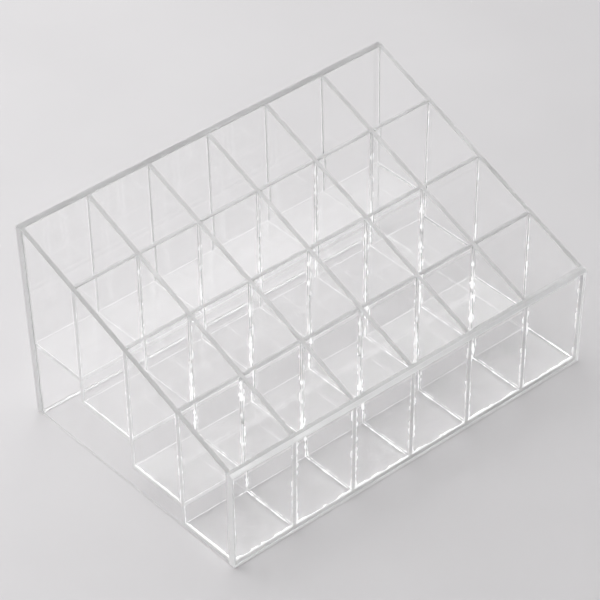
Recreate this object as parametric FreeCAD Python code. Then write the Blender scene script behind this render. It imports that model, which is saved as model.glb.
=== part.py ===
import FreeCAD, Part
import math
import os

# Stepped cosmetics organizer: an open crate of clear flat sheets, bonded edge to face.
# Rows of square compartments climb in steps from front to back under one sloping rim.
# X runs along the rows, Y from front to back and Z up from the table, in millimetres.

# Compartments, clear between the sheets at the height of the table
column_count = 6
compartment_width = 22.5
middle_row_depth = 22.5
end_row_depth = 21.5

# Sheets
side_thickness = 1.5
end_thickness = 2.5
divider_thickness = 1.5
floor_thickness = 1.5

# Outer walls, which all lean outwards by the same angle
back_height = 74.0
front_height = 38.0
wall_lean_degrees = 1.2
front_bevel = 1.0

# Rise from the floor of one row to the floor of the row behind it
front_step_rise = 7.5
middle_step_rise = 10.8
back_step_rise = 9.2

# Joints: the cement film under a bonded edge, and the room round a sheet in a slot
bond_film = 0.05
slot_clearance = 0.05

# How far a cutter reaches past what it cuts
overrun = 4.0

# Rows are counted from the front, and the front floor lies on the table
floor_tops = [floor_thickness]
for rise in (front_step_rise, middle_step_rise, back_step_rise):
    floor_tops.append(floor_tops[-1] + rise)
row_count = len(floor_tops)
row_depths = [end_row_depth] + [middle_row_depth] * (row_count - 2) + [end_row_depth]

# The footprint, and the middle lines of the dividers
half_length = (column_count * compartment_width + (column_count - 1) * divider_thickness) / 2 + side_thickness
half_depth = (sum(row_depths) + (row_count - 1) * divider_thickness) / 2 + end_thickness
column_pitch = compartment_width + divider_thickness
column_places = [(index - (column_count - 2) / 2) * column_pitch for index in range(column_count - 1)]
row_places = []
row_start = end_thickness - half_depth
for depth in row_depths[:-1]:
    row_places.append(row_start + depth + divider_thickness / 2)
    row_start += depth + divider_thickness

# Run of an outer wall for each unit of height
wall_lean = math.tan(math.radians(wall_lean_degrees))


def outer_x(z):
    """Distance of a side panel's outer face from the middle, at a height."""
    return half_length + wall_lean * z


def outer_y(z):
    """Distance of the front or back panel's outer face from the middle, at a height."""
    return half_depth + wall_lean * z


def inner_x(z):
    """Where a sheet that is bonded to a side panel ends, at a height."""
    return outer_x(z) - side_thickness - bond_film


def inner_y(z):
    """Where a sheet that is bonded to the front or back panel ends, at a height."""
    return outer_y(z) - end_thickness - bond_film


# The rim slopes from the back panel's inner top edge to the front panel's inner top edge
front_rim_y = end_thickness - outer_y(front_height)
back_rim_y = outer_y(back_height) - end_thickness
rim_slope = (back_height - front_height) / (back_rim_y - front_rim_y)


def rim_height(y):
    """Height of the sloping rim at a place from front to back."""
    return front_height + rim_slope * (y - front_rim_y)


# A row divider and a column divider each give way to the other at this height
lap_heights = [(floor_tops[row + 1] + rim_height(y)) / 2 for row, y in enumerate(row_places)]


def sheet(corners, across):
    """A flat sheet: its outline, carried across its thickness."""
    outline = [FreeCAD.Vector(*corner) for corner in corners]
    face = Part.Face(Part.makePolygon(outline + outline[:1]))
    return face.extrude(FreeCAD.Vector(*across))


def trim_to_rim(shape):
    """The shape without what stands above the sloping rim."""
    reach_x = outer_x(back_height) + overrun
    reach_y = outer_y(back_height) + overrun
    waste_top = rim_height(reach_y) + overrun
    corners = [
        (-reach_x, -reach_y, rim_height(-reach_y)),
        (-reach_x, reach_y, rim_height(reach_y)),
        (-reach_x, reach_y, waste_top),
        (-reach_x, -reach_y, waste_top),
    ]
    return shape.cut(sheet(corners, (2 * reach_x, 0, 0)))


def side_panel(hand):
    """A side wall: hand is -1 on the left and 1 on the right. It runs from the front panel to the back panel."""
    corners = [
        (hand * outer_x(0), -inner_y(0), 0),
        (hand * outer_x(back_height), -inner_y(back_height), back_height),
        (hand * outer_x(back_height), inner_y(back_height), back_height),
        (hand * outer_x(0), inner_y(0), 0),
    ]
    return trim_to_rim(sheet(corners, (-hand * side_thickness, 0, 0)))


def end_panel(hand, height):
    """A front (hand -1) or back (hand 1) wall, which covers the ends of both side panels."""
    corners = [
        (-outer_x(0), hand * outer_y(0), 0),
        (outer_x(0), hand * outer_y(0), 0),
        (outer_x(height), hand * outer_y(height), height),
        (-outer_x(height), hand * outer_y(height), height),
    ]
    return sheet(corners, (0, -hand * end_thickness, 0))


def front_panel():
    """The front wall, with a polished bevel along its outer top edge."""
    panel = end_panel(-1, front_height)
    outer_top_edge = max(panel.Edges, key=lambda edge: edge.CenterOfMass.z - edge.CenterOfMass.y)
    return panel.makeChamfer(front_bevel, [outer_top_edge])


def row_floor(row):
    """A level floor. It meets the divider in front of it and carries the divider behind it."""
    bottom = floor_tops[row] - floor_thickness
    front = -inner_y(bottom)
    back = inner_y(bottom)
    if row > 0:
        front = row_places[row - 1] + divider_thickness / 2 + bond_film
    if row < row_count - 1:
        back = row_places[row] + divider_thickness / 2
    reach = inner_x(bottom)
    corner = FreeCAD.Vector(-reach, front, bottom)
    return Part.makeBox(2 * reach, back - front, floor_thickness, corner)


def row_divider(row):
    """The upright sheet behind a row, which is also the riser of the step, slotted from its top edge."""
    front = row_places[row] - divider_thickness / 2
    foot = floor_tops[row] + bond_film
    top = rim_height(row_places[row])
    corners = [
        (-inner_x(foot), front, foot),
        (inner_x(foot), front, foot),
        (inner_x(top), front, top),
        (-inner_x(top), front, top),
    ]
    divider = sheet(corners, (0, divider_thickness, 0))
    slot_width = divider_thickness + 2 * slot_clearance
    slot_foot = lap_heights[row] - slot_clearance
    slot_run = divider_thickness + 2 * overrun
    for x in column_places:
        corner = FreeCAD.Vector(x - slot_width / 2, front - overrun, slot_foot)
        divider = divider.cut(Part.makeBox(slot_width, slot_run, top + overrun - slot_foot, corner))
    return divider


def column_divider(x):
    """The upright sheet between two columns, with feet on every floor, slotted from its lower edge."""
    left = x - divider_thickness / 2
    feet = [top + bond_film for top in floor_tops]
    corners = [(left, -inner_y(feet[0]), feet[0])]
    for row, y in enumerate(row_places):
        corners.append((left, y, feet[row]))
        corners.append((left, y, feet[row + 1]))
    corners.append((left, inner_y(feet[-1]), feet[-1]))
    corners.append((left, inner_y(back_height), back_height))
    corners.append((left, -inner_y(back_height), back_height))
    divider = trim_to_rim(sheet(corners, (divider_thickness, 0, 0)))
    slot_width = divider_thickness + 2 * slot_clearance
    slot_run = divider_thickness + 2 * overrun
    for row, y in enumerate(row_places):
        slot_foot = floor_tops[row] - overrun
        slot_top = lap_heights[row] + slot_clearance
        corner = FreeCAD.Vector(left - overrun, y - slot_width / 2, slot_foot)
        divider = divider.cut(Part.makeBox(slot_run, slot_width, slot_top - slot_foot, corner))
    return divider


pieces = {
    "left_side_panel": side_panel(-1),
    "right_side_panel": side_panel(1),
    "back_panel": end_panel(1, back_height),
    "front_panel": front_panel(),
}
for row in range(row_count):
    pieces[f"row_floor_{row + 1}"] = row_floor(row)
for row in range(row_count - 1):
    pieces[f"row_divider_{row + 1}"] = row_divider(row)
for index, x in enumerate(column_places):
    pieces[f"column_divider_{index + 1}"] = column_divider(x)

# The origin is on the table, in the middle of the box round the whole crate
whole = Part.makeCompound(list(pieces.values()))
to_origin = FreeCAD.Vector(0, -whole.BoundBox.Center.y, 0)

os.makedirs("parts", exist_ok=True)
for name, shape in pieces.items():
    shape.translate(to_origin)
    shape.exportStep(f"parts/{name}.step")
    print(name, len(shape.Solids), "solid", shape.isValid(), round(shape.Volume, 1), shape.BoundBox)
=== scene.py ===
import math

import bpy
import numpy as np
from mathutils import Matrix, Vector


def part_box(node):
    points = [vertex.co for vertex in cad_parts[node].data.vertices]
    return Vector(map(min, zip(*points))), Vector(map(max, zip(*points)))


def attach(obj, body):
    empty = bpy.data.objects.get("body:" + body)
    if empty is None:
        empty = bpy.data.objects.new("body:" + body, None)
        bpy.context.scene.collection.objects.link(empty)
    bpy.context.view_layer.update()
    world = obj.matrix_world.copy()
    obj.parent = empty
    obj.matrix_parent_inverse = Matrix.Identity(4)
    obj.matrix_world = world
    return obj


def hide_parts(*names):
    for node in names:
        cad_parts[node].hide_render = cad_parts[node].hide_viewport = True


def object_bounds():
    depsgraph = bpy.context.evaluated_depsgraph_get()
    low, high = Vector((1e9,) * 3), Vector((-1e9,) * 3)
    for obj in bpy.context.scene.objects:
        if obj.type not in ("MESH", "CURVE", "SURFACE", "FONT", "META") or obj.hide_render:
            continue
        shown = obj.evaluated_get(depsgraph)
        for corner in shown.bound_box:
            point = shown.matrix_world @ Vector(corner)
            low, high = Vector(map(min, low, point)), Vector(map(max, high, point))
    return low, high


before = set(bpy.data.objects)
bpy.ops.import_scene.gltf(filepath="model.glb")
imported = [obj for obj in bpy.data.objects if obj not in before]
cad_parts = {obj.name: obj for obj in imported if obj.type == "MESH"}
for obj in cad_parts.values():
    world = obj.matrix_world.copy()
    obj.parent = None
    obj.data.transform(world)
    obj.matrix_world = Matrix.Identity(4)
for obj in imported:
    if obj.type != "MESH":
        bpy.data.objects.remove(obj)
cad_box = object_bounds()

# Row floors
# Four level strips of clear acrylic sheet, one under each row of compartments. They are sawn to
# size, their cut edges are polished, and each is cemented between the side walls.
arris_ease = 0.00018
rim_facing = 0.3
joint_facing = 0.35
floor_count = 4


def rounded_arris(thickness, ease, extra_depths=()):
    """Profile of a sheet's edge, as depths across the thickness and how far each lies inside the outline.

    Within one ease of either broad face the inset is the ease less the root of ease squared minus
    the remaining depth squared, a quarter circle. Between the two arrises it is zero.
    """
    turn = np.radians([0.0, 45.0, 90.0])
    near = ease * (1.0 - np.cos(turn))
    depths = np.unique(np.concatenate([near, thickness - near, np.asarray(extra_depths, float)]))
    remaining = np.clip(ease - np.minimum(depths, thickness - depths), 0.0, ease)
    return depths, ease - np.sqrt(ease**2 - remaining**2)


def sheet_rings(outline, across, ease, extra_depths=()):
    """Surface of a flat sheet: its edge profile carried round its outline.

    Every outline corner moves in along its mitre, the sum of the inward normals of its two sides
    over one plus their dot product, by the profile's inset, and along the thickness by its depth.
    """
    outline, across = np.asarray(outline, float), np.asarray(across, float)
    thickness = np.linalg.norm(across)
    facing = np.cross(outline, np.roll(outline, -1, 0)).sum(0)
    if facing @ across > 0.0:
        outline = outline[::-1]
        facing = -facing
    facing = facing / np.linalg.norm(facing)
    sides = np.roll(outline, -1, 0) - outline
    inward = np.cross(facing, sides / np.linalg.norm(sides, axis=1)[:, None])
    before = np.roll(inward, 1, 0)
    mitre = (before + inward) / (1.0 + (before * inward).sum(1))[:, None]
    depths, insets = rounded_arris(thickness, ease, extra_depths)
    return outline + insets[:, None, None] * mitre + (depths / thickness)[:, None, None] * across


def sheet_piece(name, rings, face_look, joint_look):
    """Closed mesh of a sheet: the rings of its edge joined by quads, and a broad face on either end.

    The broad faces take the first look, the edges that face up the rim's, and all others the joint's.
    """
    count, corners = rings.shape[:2]
    index = np.arange(count * corners).reshape(count, corners)
    ahead = np.roll(index, -1, 1)
    edge = np.stack([index[:-1], index[1:], ahead[1:], ahead[:-1]], -1).reshape(-1, 4)
    faces = edge.tolist() + [index[0].tolist(), index[-1][::-1].tolist()]
    mesh = bpy.data.meshes.new(name)
    mesh.from_pydata(rings.reshape(-1, 3).tolist(), [], faces)
    for look in (face_look, polished_rim, joint_look):
        mesh.materials.append(look)
    normals = np.empty(3 * len(faces))
    mesh.polygons.foreach_get("normal", normals)
    looks = np.where(normals[2::3] > rim_facing, 1, 2)
    looks[-2:] = 0
    mesh.polygons.foreach_set("material_index", looks.astype(np.int32))
    piece = bpy.data.objects.new(name, mesh)
    bpy.context.scene.collection.objects.link(piece)
    return piece


def clear_acrylic(name, tint, bend, wipe_scale, smooth, hazy, clear, cloudy):
    """Clear acrylic, smooth where wiped, hazier and a little cloudy along faint marks. A grey tint on it is
    painted shade, and a strong cloud on it is painted light.
    """
    look = bpy.data.materials.new(name)
    look.use_nodes = True
    nodes, links = look.node_tree.nodes, look.node_tree.links
    shader = nodes["Principled BSDF"]
    shader.inputs["Base Color"].default_value = (tint, tint, tint, 1.0)
    shader.inputs["IOR"].default_value = bend
    place = nodes.new("ShaderNodeTexCoord")
    marks = nodes.new("ShaderNodeTexNoise")
    marks.inputs["Scale"].default_value = wipe_scale
    marks.inputs["Detail"].default_value = 4.0
    links.new(place.outputs["Object"], marks.inputs["Vector"])
    haze = nodes.new("ShaderNodeMapRange")
    haze.inputs["From Min"].default_value = 0.45
    haze.inputs["From Max"].default_value = 0.75
    haze.inputs["To Min"].default_value = smooth
    haze.inputs["To Max"].default_value = hazy
    links.new(marks.outputs["Fac"], haze.inputs["Value"])
    links.new(haze.outputs["Result"], shader.inputs["Roughness"])
    cloud = nodes.new("ShaderNodeMapRange")
    cloud.inputs["From Min"].default_value = 0.3
    cloud.inputs["From Max"].default_value = 0.7
    cloud.inputs["To Min"].default_value = clear
    cloud.inputs["To Max"].default_value = cloudy
    links.new(marks.outputs["Fac"], cloud.inputs["Value"])
    links.new(cloud.outputs["Result"], shader.inputs["Transmission Weight"])
    return look


def whitish_acrylic(name, tone, glow, clearness, bend=1.5):
    """Whitish acrylic with a fine grain, which lets some light through. Its glow is painted light, put in
    for the light that runs inside the sheets.
    """
    look = bpy.data.materials.new(name)
    look.use_nodes = True
    nodes, links = look.node_tree.nodes, look.node_tree.links
    shader = nodes["Principled BSDF"]
    shader.inputs["Base Color"].default_value = (tone, tone, tone, 1.0)
    shader.inputs["IOR"].default_value = bend
    shader.inputs["Emission Color"].default_value = (1.0, 1.0, 1.0, 1.0)
    shader.inputs["Emission Strength"].default_value = glow
    shader.inputs["Transmission Weight"].default_value = clearness
    place = nodes.new("ShaderNodeTexCoord")
    grain = nodes.new("ShaderNodeTexNoise")
    grain.inputs["Scale"].default_value = 1500.0
    links.new(place.outputs["Object"], grain.inputs["Vector"])
    gloss = nodes.new("ShaderNodeMapRange")
    gloss.inputs["To Min"].default_value = 0.2
    gloss.inputs["To Max"].default_value = 0.5
    links.new(grain.outputs["Fac"], gloss.inputs["Value"])
    links.new(gloss.outputs["Result"], shader.inputs["Roughness"])
    return look


def fade_along(look, socket, at_left, at_right, share=1.0):
    """Let one value of a look run evenly from the left wall over a share of the way to the right wall."""
    nodes, links = look.node_tree.nodes, look.node_tree.links
    along = nodes.new("ShaderNodeSeparateXYZ")
    links.new(nodes["Texture Coordinate"].outputs["Object"], along.inputs["Vector"])
    fade = nodes.new("ShaderNodeMapRange")
    fade.inputs["From Min"].default_value = cad_box[0][0]
    fade.inputs["From Max"].default_value = cad_box[0][0] + share * (cad_box[1][0] - cad_box[0][0])
    fade.inputs["To Min"].default_value = at_left
    fade.inputs["To Max"].default_value = at_right
    links.new(along.outputs["X"], fade.inputs["Value"])
    links.new(fade.outputs["Result"], nodes["Principled BSDF"].inputs[socket])


def edge_look(piece, look, x, y, z):
    """Give a sheet's edges that face one way a look of their own."""
    piece.data.materials.append(look)
    for face in piece.data.polygons:
        if face.normal.dot((x, y, z)) > joint_facing:
            face.material_index = len(piece.data.materials) - 1


clear_face = clear_acrylic(
    "clear_sheet_face", tint=1.0, bend=1.49, wipe_scale=90.0, smooth=0.0, hazy=0.02, clear=1.0, cloudy=0.985
)
# The floors' whitish cloud is painted light: it lightens them in place of the light they reflect, most on
# the two front floors, which lie deeper in shade.
clear_floor = clear_acrylic(
    "clear_floor_face", tint=1.0, bend=1.2, wipe_scale=40.0, smooth=0.05, hazy=0.12, clear=1.0, cloudy=0.93
)
lightened_floor = clear_acrylic(
    "lightened_floor_face", tint=1.0, bend=1.25, wipe_scale=40.0, smooth=0.05, hazy=0.12, clear=1.0, cloudy=0.76
)
floor_looks = [lightened_floor, lightened_floor, clear_floor, clear_floor]
# The grey tint of the rim look is painted shade on the sheets' top edges; the haze along fine marks is the
# polished edges' own.
polished_rim = clear_acrylic(
    "polished_rim", tint=0.66, bend=1.49, wipe_scale=250.0, smooth=0.36, hazy=0.5, clear=0.78, cloudy=0.66
)
wetted_edge = clear_acrylic(
    "wetted_edge", tint=1.0, bend=1.0, wipe_scale=250.0, smooth=0.0, hazy=0.08, clear=1.0, cloudy=0.97
)
# The fading edge's glow is painted light: the front edges of the upper floors glow and are whiter at the
# left, fading out toward the right.
fading_edge = whitish_acrylic("fading_edge", tone=0.95, glow=0.0, clearness=0.5, bend=1.0)
fade_along(fading_edge, "Emission Strength", at_left=0.1, at_right=0.0, share=0.6)
fade_along(fading_edge, "Transmission Weight", at_left=0.4, at_right=0.98, share=0.6)
# Where the sheets meet, the edges are whitish like cement joints and glow with painted light, brighter and
# less clear at the left and dimmer toward the right.
cemented_glowing_edge = whitish_acrylic("cemented_glowing_edge", tone=0.8, glow=0.0, clearness=0.5, bend=1.15)
fade_along(cemented_glowing_edge, "Emission Strength", at_left=0.08, at_right=0.02)
fade_along(cemented_glowing_edge, "Transmission Weight", at_left=0.4, at_right=0.65)

for number in range(1, floor_count + 1):
    low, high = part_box(f"row_floor_{number}")
    corners = [(low.x, low.y), (high.x, low.y), (high.x, high.y), (low.x, high.y)]
    outline = [(x, y, low.z) for x, y in corners]
    rings = sheet_rings(outline, (0.0, 0.0, high.z - low.z), arris_ease)
    floor_sheet = sheet_piece(f"floor_sheet_{number}", rings, floor_looks[number - 1], cemented_glowing_edge)
    edge_look(floor_sheet, wetted_edge, 0.0, 1.0, 0.0)
    if number > 1:
        edge_look(floor_sheet, fading_edge, 0.0, -1.0, 0.0)
    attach(floor_sheet, "root")
    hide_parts(f"row_floor_{number}")

# Row dividers
# Three upright sheets between the rows. The lower part of each is the riser of a step, and slots
# sawn half way down from the top edge let the column dividers pass.
row_divider_count = 3
column_divider_count = 5
slot_clearance = 0.00005
wall_lean = math.tan(math.radians(1.2))

column_boxes = [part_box(f"column_divider_{number}") for number in range(1, column_divider_count + 1)]
slot_places = np.array([(low.x + high.x) / 2.0 for low, high in column_boxes])
slot_half = (column_boxes[0][1].x - column_boxes[0][0].x) / 2.0 + slot_clearance

for number in range(1, row_divider_count + 1):
    low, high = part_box(f"row_divider_{number}")
    foot_reach = high.x - wall_lean * (high.z - low.z)
    slot_foot = (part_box(f"row_floor_{number + 1}")[1].z + high.z) / 2.0 - slot_clearance
    slot_x = (slot_places[::-1, None] + slot_half * np.array([1.0, 1.0, -1.0, -1.0])).ravel()
    slot_z = np.tile([high.z, slot_foot, slot_foot, high.z], column_divider_count)
    x = np.concatenate([[-foot_reach, foot_reach, high.x], slot_x, [-high.x]])
    z = np.concatenate([[low.z, low.z, high.z], slot_z, [high.z]])
    outline = np.stack([x, np.full_like(x, low.y), z], 1)
    rings = sheet_rings(outline, (0.0, high.y - low.y, 0.0), arris_ease)
    row_sheet = sheet_piece(f"row_sheet_{number}", rings, clear_face, cemented_glowing_edge)
    edge_look(row_sheet, wetted_edge, 0.0, 0.0, -1.0)
    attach(row_sheet, "root")
    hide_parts(f"row_divider_{number}")

# Column dividers
# Five upright sheets from front to back. Each stands on all four floors with a stepped foot, is
# slotted from below over the row dividers, and follows the sloping rim along its top.
end_thickness = 0.0025
bond_film = 0.00005
front_bevel = 0.001
# The column rims' grey tint is painted shade, a lighter grey than on the other rims.
column_rim = clear_acrylic(
    "column_rim", tint=0.76, bend=1.49, wipe_scale=250.0, smooth=0.36, hazy=0.5, clear=0.64, cloudy=0.52
)
back_joint = whitish_acrylic("back_joint", tone=0.7, glow=0.0, clearness=0.7, bend=1.1)

front_low, front_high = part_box("front_panel")
back_low, back_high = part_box("back_panel")
row_boxes = [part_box(f"row_divider_{number}") for number in range(1, row_divider_count + 1)]
row_middles = np.array([(low.y + high.y) / 2.0 for low, high in row_boxes])
floor_tops = np.array([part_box(f"row_floor_{number}")[1].z for number in range(1, floor_count + 1)])


def front_outside(z):
    """Y of the front wall's outer face at a height: its place at the bevel, moved by the lean."""
    return front_low.y + wall_lean * (front_high.z - front_bevel - z)


def back_outside(z):
    """Y of the back wall's outer face at a height: its place at the top, moved by the lean."""
    return back_high.y - wall_lean * (back_high.z - z)


rim_front = front_outside(front_high.z) + end_thickness
rim_back = back_outside(back_high.z) - end_thickness
rim_slope = (back_high.z - front_high.z) / (rim_back - rim_front)


def rim_corner(y_at_table, lean):
    """Where the rim's slope meets a wall that leans in Y: the two straight lines solved for height."""
    z = (front_high.z + rim_slope * (y_at_table - rim_front)) / (1.0 - rim_slope * lean)
    return y_at_table + lean * z, z


front_end = front_outside(0.0) + end_thickness + bond_film
back_end = back_outside(0.0) - end_thickness - bond_film
front_top = rim_corner(front_end, -wall_lean)
back_top = rim_corner(back_end, wall_lean)
feet = floor_tops + bond_film
rim_over_rows = front_high.z + rim_slope * (row_middles - rim_front)
lap_tops = (floor_tops[1:] + rim_over_rows) / 2.0 + slot_clearance
step_y = (row_middles[:, None] + slot_half * np.array([-1.0, -1.0, 1.0, 1.0])).ravel()
step_z = np.stack([feet[:-1], lap_tops, lap_tops, feet[1:]], 1).ravel()
front_foot_y = front_end - wall_lean * feet[0]
back_foot_y = back_end + wall_lean * feet[-1]
y = np.concatenate([[front_foot_y], step_y, [back_foot_y, back_top[0], front_top[0]]])
z = np.concatenate([[feet[0]], step_z, [feet[-1], back_top[1], front_top[1]]])

for number, (low, high) in enumerate(column_boxes, 1):
    outline = np.stack([np.full_like(y, low.x), y, z], 1)
    rings = sheet_rings(outline, (high.x - low.x, 0.0, 0.0), arris_ease)
    column_sheet = sheet_piece(f"column_sheet_{number}", rings, clear_face, cemented_glowing_edge)
    column_sheet.data.materials[1] = column_rim
    column_sheet.data.materials.append(back_joint)
    column_sheet.data.materials.append(wetted_edge)
    for face in column_sheet.data.polygons:
        if face.normal.y > joint_facing and face.center.y > back_end:
            face.material_index = 3
        if face.normal.z < -joint_facing and face.center.z > floor_tops[1]:
            face.material_index = 4
    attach(column_sheet, "root")
    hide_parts(f"column_divider_{number}")

# Side walls
# Two outer sheets down to the table, leaning out a little. They are cemented between the front wall
# and the back wall, and the rim slopes down along their tops.
side_thickness = 0.0015
# The side rims' grey tint is painted shade, and their faint glow, rising toward the right wall, is painted
# light.
side_rim = clear_acrylic(
    "side_rim", tint=0.68, bend=1.49, wipe_scale=250.0, smooth=0.36, hazy=0.5, clear=0.62, cloudy=0.5
)
fade_along(side_rim, "Emission Strength", at_left=0.0, at_right=0.04)
# The feet's glow is painted light, which lightens the line where the walls stand on the table.
standing_edge = whitish_acrylic("standing_edge", tone=0.8, glow=0.12, clearness=0.2)

for hand, side in ((-1.0, "left"), (1.0, "right")):
    low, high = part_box(f"{side}_side_panel")
    foot_x = max(abs(low.x), abs(high.x)) - wall_lean * high.z
    corners = [(front_end, 0.0), front_top, back_top, (back_end, 0.0)]
    outline = [(hand * (foot_x + wall_lean * height), place, height) for place, height in corners]
    rings = sheet_rings(outline, (-hand * side_thickness, 0.0, 0.0), arris_ease)
    side_sheet = sheet_piece(f"{side}_side_sheet", rings, clear_face, cemented_glowing_edge)
    side_sheet.data.materials[1] = side_rim
    edge_look(side_sheet, standing_edge, 0.0, 0.0, -1.0)
    if hand > 0.0:
        edge_look(side_sheet, wetted_edge, 0.0, 1.0, 0.0)
    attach(side_sheet, "root")
    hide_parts(f"{side}_side_panel")

# Front wall
# A low wall of thicker sheet, which covers the front ends of the side walls, with a polished bevel
# along the outer side of its top edge. The bevel's bright band is a painted highlight, and the ends carry a
# painted glow.
bevel_facing = 0.5

foot_reach = front_high.x - wall_lean * front_high.z
outline = [
    (-foot_reach, front_outside(0.0), 0.0),
    (foot_reach, front_outside(0.0), 0.0),
    (front_high.x, front_outside(front_high.z), front_high.z),
    (-front_high.x, front_outside(front_high.z), front_high.z),
]
rings = sheet_rings(outline, (0.0, end_thickness, 0.0), arris_ease, [front_bevel])
depth = rings[:, :, 1] - front_outside(rings[:, :, 2])
at_top = rings[:, :, 2] > front_high.z / 2.0
drop = np.where(at_top, np.clip(front_bevel - depth, 0.0, None), 0.0)
rings[:, :, 2] -= drop
rings[:, :, 1] += wall_lean * drop
rings[:, :, 0] -= np.sign(rings[:, :, 0]) * wall_lean * drop
# The sawn ends are whitish; their glow, stronger toward the right, is painted light.
sawn_end = whitish_acrylic("sawn_end", tone=0.95, glow=0.0, clearness=0.4)
fade_along(sawn_end, "Emission Strength", at_left=0.04, at_right=0.16)
# The bevel's whitish glow is a painted highlight, brightest at the left and fading out toward the right.
bevel_painted_highlight = whitish_acrylic("bevel_painted_highlight", tone=0.85, glow=0.0, clearness=0.4)
fade_along(bevel_painted_highlight, "Emission Strength", at_left=0.3, at_right=0.0)
front_sheet = sheet_piece("front_sheet", rings, clear_face, sawn_end)
front_sheet.data.materials.append(bevel_painted_highlight)
for face in front_sheet.data.polygons:
    if face.normal.y < -bevel_facing and face.normal.z > bevel_facing:
        face.material_index = 3
edge_look(front_sheet, standing_edge, 0.0, 0.0, -1.0)
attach(front_sheet, "root")
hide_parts("front_panel")

# Back wall
# The tall wall of thicker sheet, which covers the back ends of the side walls and carries the top
# of the slope.
foot_reach = back_high.x - wall_lean * back_high.z
outline = [
    (-foot_reach, back_outside(0.0), 0.0),
    (foot_reach, back_outside(0.0), 0.0),
    (back_high.x, back_outside(back_high.z), back_high.z),
    (-back_high.x, back_outside(back_high.z), back_high.z),
]
rings = sheet_rings(outline, (0.0, -end_thickness, 0.0), arris_ease)
back_sawn_end = whitish_acrylic("back_sawn_end", tone=0.95, glow=0.0, clearness=0.4)
# The back rim's grey tint is painted shade.
back_rim = clear_acrylic(
    "back_rim", tint=0.65, bend=1.49, wipe_scale=250.0, smooth=0.36, hazy=0.5, clear=0.9, cloudy=0.78
)
back_sheet = sheet_piece("back_sheet", rings, clear_face, back_sawn_end)
back_sheet.data.materials[1] = back_rim
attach(back_sheet, "root")
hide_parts("back_panel")

# Cement
# Clear cement stands as small fillets where the sheets meet: round each floor and up the
# four corners of each compartment. It was run in by hand, so it comes and goes along the joints.
# The fillets are drawn white and glowing, as painted glints along the joints.
cement_lift = 0.00003
cement_end = 0.00004
cement_steps = 97
knot_count = 8
knot_width = 0.018
knot_height = 0.85
heap_shift = 0.05
cement_chance = np.random.default_rng(24)
fillet_section = np.array([[0, 0], [1, 0], [0.62, 0.08], [0.293, 0.293], [0.08, 0.62], [0, 1]], float)


def cement_fillet(start, end, along_first, along_second, radii):
    """Surface of one fillet: a concave quarter section carried along a straight joint.

    Each ring is a point of the joint plus the section times that ring's radius, the section's two
    coordinates running along the two sheets that meet there. A small lift keeps it off both sheets.
    """
    share = np.linspace(0.0, 1.0, len(radii))[:, None]
    joint = np.asarray(start, float) * (1.0 - share) + np.asarray(end, float) * share
    first, second = np.asarray(along_first, float), np.asarray(along_second, float)
    reach = cement_lift + fillet_section[None] * radii[:, None, None]
    return joint[:, None] + reach[:, :, :1] * first + reach[:, :, 1:] * second


def run_by_hand(radius, heaps, even=0.0):
    """Radii along one fillet: a thin run that swells at the heaps, each given as share, width and height.

    The radius is the full radius times the sum of the bell curves of the heaps and of narrow knots
    between them, times noise but for the even share, and almost nothing at both ends.
    """
    share = np.linspace(0.0, 1.0, cement_steps)
    swell = np.zeros(cement_steps)
    knots = [(cement_chance.uniform(0.05, 0.95), knot_width, knot_height) for knot in range(knot_count)]
    for place, width, height in heaps + knots:
        place = place + cement_chance.normal(0.0, heap_shift)
        swell += height * cement_chance.uniform(0.6, 1.2) * np.exp(-(((share - place) / width) ** 2))
    grain = np.convolve(cement_chance.uniform(0.0, 1.0, cement_steps + 2), np.ones(3) / 3.0, "valid")
    radii = radius * np.clip(swell * (even + (1.0 - even) * 4.0 * grain**2), 0.0, 1.0)
    radii[[0, -1]] = 0.0
    return np.maximum(radii, cement_end)


def fillets_piece(name, fillets, look):
    """Closed meshes of many fillets in one piece: rings joined by quads, with a cap on each end."""
    vertices, faces = [], []
    for rings in fillets:
        count, corners = rings.shape[:2]
        index = np.arange(count * corners).reshape(count, corners) + sum(len(part) for part in vertices)
        ahead = np.roll(index, -1, 1)
        walls = np.stack([index[:-1], ahead[:-1], ahead[1:], index[1:]], -1).reshape(-1, 4).tolist()
        caps = [index[0][::-1].tolist(), index[-1].tolist()]
        spine = rings[-1].mean(0) - rings[0].mean(0)
        turn = np.cross(rings[0, 1] - rings[0, 0], rings[0, -1] - rings[0, 0])
        if turn @ spine < 0.0:
            walls, caps = [face[::-1] for face in walls], [face[::-1] for face in caps]
        faces += walls + caps
        vertices.append(rings.reshape(-1, 3))
    mesh = bpy.data.meshes.new(name)
    mesh.from_pydata(np.concatenate(vertices).tolist(), [], faces)
    mesh.materials.append(look)
    piece = bpy.data.objects.new(name, mesh)
    bpy.context.scene.collection.objects.link(piece)
    return piece


# The cement's white glow is painted light: the fillets stand for the bright glints along the joints.
cement_painted_glint = whitish_acrylic("cement_painted_glint", tone=0.95, glow=0.6, clearness=0.0)
side_inside = back_high.x - wall_lean * back_high.z - side_thickness
left_faces = [None] + [high.x for low, high in column_boxes]
right_faces = [low.x for low, high in column_boxes] + [None]
front_faces = [None] + [high.y for low, high in row_boxes]
back_faces = [low.y for low, high in row_boxes] + [None]
corner_heaps = [(0.06, 0.05, 0.7), (0.36, 0.1, 0.4), (0.85, 0.1, 0.2)]
row_seam_heaps = [(0.1, 0.15, 0.8), (0.5, 0.2, 0.5), (0.9, 0.15, 0.8)]
column_seam_heaps = [(0.15, 0.15, 0.5), (0.5, 0.25, 0.4), (0.9, 0.1, 0.6)]
left_seam_heaps = [(0.2, 0.25, 0.9), (0.6, 0.25, 0.9), (0.9, 0.15, 0.9)]
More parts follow.
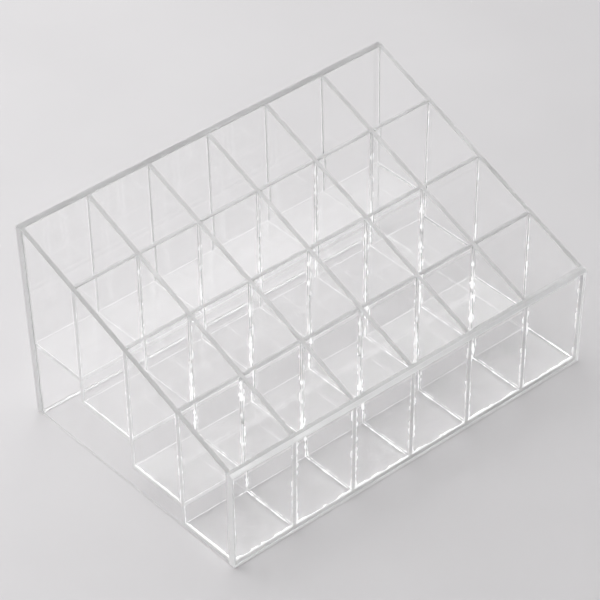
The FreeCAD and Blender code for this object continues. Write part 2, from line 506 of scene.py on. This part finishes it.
# These sizes place the painted glints: fillets are larger, and so glow brighter, at the front rows, by the
# left wall and along the front seam, and smaller toward the back and the right.
corner_strengths = [1.0, 0.85, 0.55, 0.12]
floor_strengths = [0.35, 0.2, 0.1, 0.06]
left_wall_strengths = [0.8, 0.7, 0.5, 0.15]
front_corner_strength = 1.2
far_left_strength = 0.3
corner_radius = 0.00055
floor_radius = 0.0010
top_margin = 0.0012
wall_share = 0.5
back_share = 0.25
seam_fade = 0.17
front_seam_strength = 1.0
seam_evenness = 0.6


def compartment_corner(row, column, at_right, at_back, z):
    """A compartment's corner at a height: the sheets' own faces, or the leaning walls' inner faces."""
    x = (right_faces if at_right else left_faces)[column]
    y = (back_faces if at_back else front_faces)[row]
    if x is None:
        x = (1.0 if at_right else -1.0) * (side_inside + wall_lean * z)
    if y is None:
        y = back_outside(z) - end_thickness if at_back else front_outside(z) + end_thickness
    return np.array([x, y, z])


for row in range(floor_count):
    fillets = []
    floor_z = floor_tops[row]
    for column in range(column_divider_count + 1):
        for at_right in (False, True):
            for at_back in (False, True):
                at_wall = column == (column_divider_count if at_right else 0)
                strength = corner_strengths[row] * (wall_share if at_wall else 1.0)
                if row == 0 and not at_back:
                    strength = front_corner_strength if column + at_right > 0 else far_left_strength
                foot = compartment_corner(row, column, at_right, at_back, floor_z)
                rim_z = min(front_high.z + rim_slope * (foot[1] - rim_front), back_high.z) - top_margin
                head = compartment_corner(row, column, at_right, at_back, rim_z)
                inward = (-1.0 if at_right else 1.0, 0.0, 0.0), (0.0, -1.0 if at_back else 1.0, 0.0)
                radii = run_by_hand(corner_radius * strength, corner_heaps)
                fillets.append(cement_fillet(foot, head, *inward, radii))
        for at_back in (False, True):
            left = compartment_corner(row, column, False, at_back, floor_z)
            right = compartment_corner(row, column, True, at_back, floor_z)
            inward = (0.0, -1.0 if at_back else 1.0, 0.0), (0.0, 0.0, 1.0)
            strength = floor_strengths[row] * (back_share if at_back else 1.0) * (1.0 - seam_fade * column)
            even = 0.0
            if row == 0 and not at_back:
                strength = front_seam_strength
                even = seam_evenness
            radii = run_by_hand(floor_radius * strength, row_seam_heaps, even)
            fillets.append(cement_fillet(left, right, *inward, radii))
        for at_right in (False, True):
            front = compartment_corner(row, column, at_right, False, floor_z)
            back = compartment_corner(row, column, at_right, True, floor_z)
            inward = (-1.0 if at_right else 1.0, 0.0, 0.0), (0.0, 0.0, 1.0)
            heaps = column_seam_heaps
            strength = floor_strengths[row]
            even = 0.0
            if column == 0 and not at_right:
                heaps = left_seam_heaps
                strength = left_wall_strengths[row]
                even = seam_evenness
            radii = run_by_hand(floor_radius * strength, heaps, even)
            fillets.append(cement_fillet(front, back, *inward, radii))
    cement = fillets_piece(f"cement_row_{row + 1}", fillets, cement_painted_glint)
    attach(cement, "root")

# Table
# A plain pale table top under the whole object, matt, with a faint mottle. It lies a hair below the
# feet of the walls, which stand on it loose.
table_reach = 3.0
table_drop = 0.00005
table_mesh = bpy.data.meshes.new("table")
table_corners = table_reach * np.array([[-1, -1, 0], [1, -1, 0], [1, 1, 0], [-1, 1, 0]], float)
table_corners[:, 2] = -table_drop
table_mesh.from_pydata(table_corners.tolist(), [], [(0, 1, 2, 3)])
table = bpy.data.objects.new("table", table_mesh)
bpy.context.scene.collection.objects.link(table)
table_look = bpy.data.materials.new("pale_table")
table_look.use_nodes = True
nodes, links = table_look.node_tree.nodes, table_look.node_tree.links
shader = nodes["Principled BSDF"]
place = nodes.new("ShaderNodeTexCoord")
mottle = nodes.new("ShaderNodeTexNoise")
mottle.inputs["Scale"].default_value = 14.0
mottle.inputs["Detail"].default_value = 3.0
links.new(place.outputs["Object"], mottle.inputs["Vector"])
tones = nodes.new("ShaderNodeValToRGB")
tones.color_ramp.elements[0].position = 0.3
tones.color_ramp.elements[0].color = (0.618, 0.606, 0.616, 1.0)
tones.color_ramp.elements[1].position = 0.7
tones.color_ramp.elements[1].color = (0.642, 0.630, 0.640, 1.0)
links.new(mottle.outputs["Fac"], tones.inputs["Fac"])
links.new(tones.outputs["Color"], shader.inputs["Base Color"])
shader.inputs["Roughness"].default_value = 0.75
table_mesh.materials.append(table_look)

# Light
# A broad softbox high behind the object, a small one overhead, a fill at the left and an even pale
# room. A path of light may cross all the sheets of a row, so long paths are followed.
room_strength = 0.355
longest_path = 96

room = bpy.data.worlds.new("pale_room")
room.use_nodes = True
bpy.context.scene.world = room
room.node_tree.nodes["Background"].inputs["Color"].default_value = (1.0, 1.0, 1.0, 1.0)
room.node_tree.nodes["Background"].inputs["Strength"].default_value = room_strength


def soft_light(name, size, energy, place, aim):
    """A square soft light at a place, turned to face its aim."""
    light = bpy.data.lights.new(name, "AREA")
    light.shape = "SQUARE"
    light.size = size
    light.energy = energy
    lamp = bpy.data.objects.new(name, light)
    bpy.context.scene.collection.objects.link(lamp)
    facing = (Vector(aim) - Vector(place)).to_track_quat("-Z", "Y")
    lamp.matrix_world = Matrix.Translation(Vector(place)) @ facing.to_matrix().to_4x4()


soft_light("softbox", size=1.4, energy=10.9, place=(0.02, 0.70, 0.60), aim=(0.0, 0.0, 0.02))
soft_light("overhead", size=0.35, energy=0.5, place=(-0.07, -0.02, 0.45), aim=(-0.07, -0.02, 0.0))
soft_light("fill", size=0.8, energy=0.9, place=(-0.8, 0.1, 0.5), aim=(0.0, 0.0, 0.02))

bpy.context.scene.view_settings.view_transform = "Standard"
paths = bpy.context.scene.cycles
paths.max_bounces = longest_path
paths.transmission_bounces = longest_path
paths.glossy_bounces = longest_path
paths.diffuse_bounces = 6
paths.blur_glossy = 0.0
paths.sample_clamp_indirect = 20.0

# Camera
# A long lens from the front left, well above the rim, so that the sheets run almost parallel in the
# picture.
camera_place = Vector((-0.498711, -0.577445, 0.649459))
camera_aim = Vector((-0.006009, -0.003003, 0.04))
camera_roll = math.radians(-0.78)
camera_lens = bpy.data.cameras.new("camera")
camera_lens.sensor_width = 36.0
camera_lens.lens = 186.87
camera = bpy.data.objects.new("camera", camera_lens)
bpy.context.scene.collection.objects.link(camera)
looking = (camera_aim - camera_place).to_track_quat("-Z", "Y").to_matrix().to_4x4()
camera.matrix_world = Matrix.Translation(camera_place) @ looking @ Matrix.Rotation(camera_roll, 4, "Z")
bpy.context.scene.camera = camera
